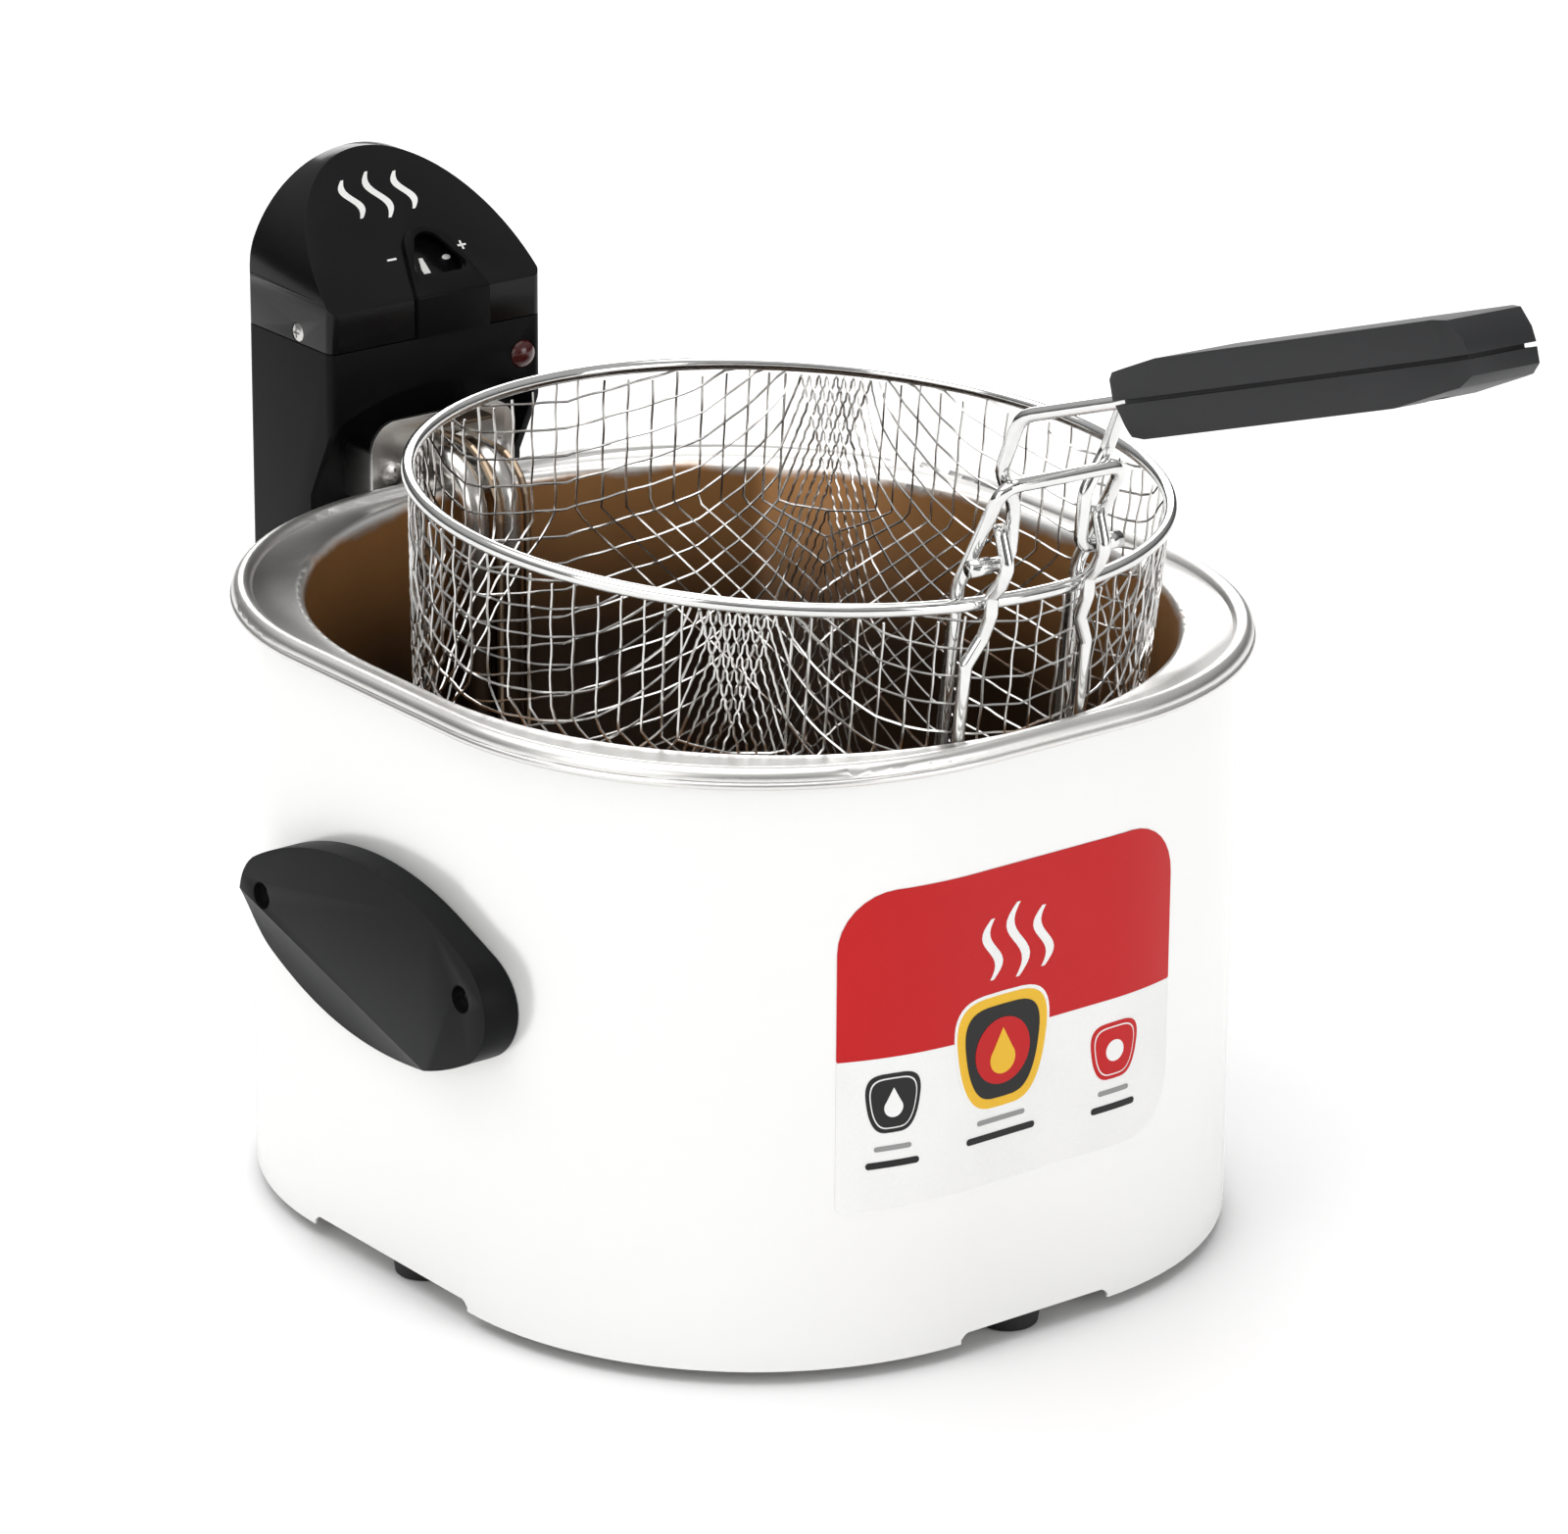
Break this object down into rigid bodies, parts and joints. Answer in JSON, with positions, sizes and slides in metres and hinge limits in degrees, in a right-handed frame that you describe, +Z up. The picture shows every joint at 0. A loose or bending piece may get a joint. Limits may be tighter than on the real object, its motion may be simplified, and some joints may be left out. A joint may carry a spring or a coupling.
{
  "type": "deep fryer",
  "caption": "Household deep fryer with a round wire basket on a hinged handle, an oval steel oil tank and a lift-off control head with its heating element.",
  "frame": {"origin": "centre of the body's oval footprint, on the surface it stands on", "axes": "+Z up, -Y towards the front with the label and the basket handle, +Y towards the control head, +X to the right seen from the front"},
  "size_m": [0.2654, 0.5095, 0.3353],
  "materials": {
    "stainless": "satin",
    "white_enamel": "gloss",
    "black_handle": "satin",
    "black_plastic": "satin",
    "black_grip": "satin",
    "black_rubber": "matte",
    "red_label": "gloss",
    "element_steel": "satin",
    "copper_alloy": "satin",
    "brown_steel": "satin",
    "chrome_wire": "bright",
    "red_lens": "gloss",
    "red_plastic": "gloss",
    "lamp_glass": "clear",
    "grey_plastic": "satin",
    "cream_plastic": "satin"
  },
  "bodies": {
    "fryer_body": {"body_shell": "white_enamel", "base_plate": "stainless", "rubber_feet": "black_rubber", "foot_screws": "stainless", "foot_nuts": "stainless", "oil_tank": "stainless", "front_label": "red_label", "side_handle_left": "black_handle", "side_handle_right": "black_handle", "handle_screws": "stainless", "handle_nuts": "stainless", "head_rail": "stainless", "rail_rivets": "stainless"},
    "control_head": {"head_housing": "black_plastic", "head_cap": "black_plastic", "cap_screws": "stainless", "dial_bezel": "black_plastic", "thermostat_body": "grey_plastic", "pilot_lens": "red_lens", "pilot_lamp": "lamp_glass", "element_bracket": "stainless", "bracket_screws": "stainless", "heating_element": "element_steel", "element_collars": "copper_alloy", "splash_tab": "brown_steel", "thermostat_bulb": "copper_alloy", "thermostat_capillary": "copper_alloy", "cutout_bulb": "copper_alloy", "cutout_capillary": "copper_alloy", "bulb_clips": "stainless", "safety_cutout": "grey_plastic", "terminal_block": "cream_plastic", "interlock_switch": "grey_plastic", "switch_screws": "stainless", "cord_gland": "black_plastic"},
    "dial": {"thermostat_dial": "black_plastic", "dial_spindle": "stainless"},
    "reset": {"reset_button": "red_plastic"},
    "basket": {"basket_rim": "chrome_wire", "basket_mesh": "chrome_wire", "basket_base_ring": "chrome_wire", "basket_stirrup": "chrome_wire", "hinge_brackets": "chrome_wire"},
    "basket_handle": {"handle_wire": "chrome_wire", "grip_upper": "black_grip", "grip_lower": "black_grip", "grip_screws": "stainless"}
  },
  "joints": [
    {"name": "head_lift", "type": "slide", "parent": "fryer_body", "child": "control_head", "axis": [0, 0, 1], "range_m": [0, 0.14]},
    {"name": "thermostat_turn", "type": "hinge", "parent": "control_head", "child": "dial", "pos_m": [0.0055, 0.1593, 0.24307], "axis": [0, 0.6743, -0.7385], "range_deg": [0, 216]},
    {"name": "reset_push", "type": "slide", "parent": "control_head", "child": "reset", "axis": [0, -1, 0], "range_m": [0, 0.0015], "stiffness_N_per_m": 500},
    {"name": "basket_lift", "type": "slide", "parent": "control_head", "child": "basket", "axis": [0, 0, 1], "range_m": [0, 0.14]},
    {"name": "handle_fold", "type": "hinge", "parent": "basket", "child": "basket_handle", "pos_m": [0.00026, -0.13513, 0.22911], "axis": [-0.9995, 0, 0.0311], "range_deg": [0, 120]}
  ]
}
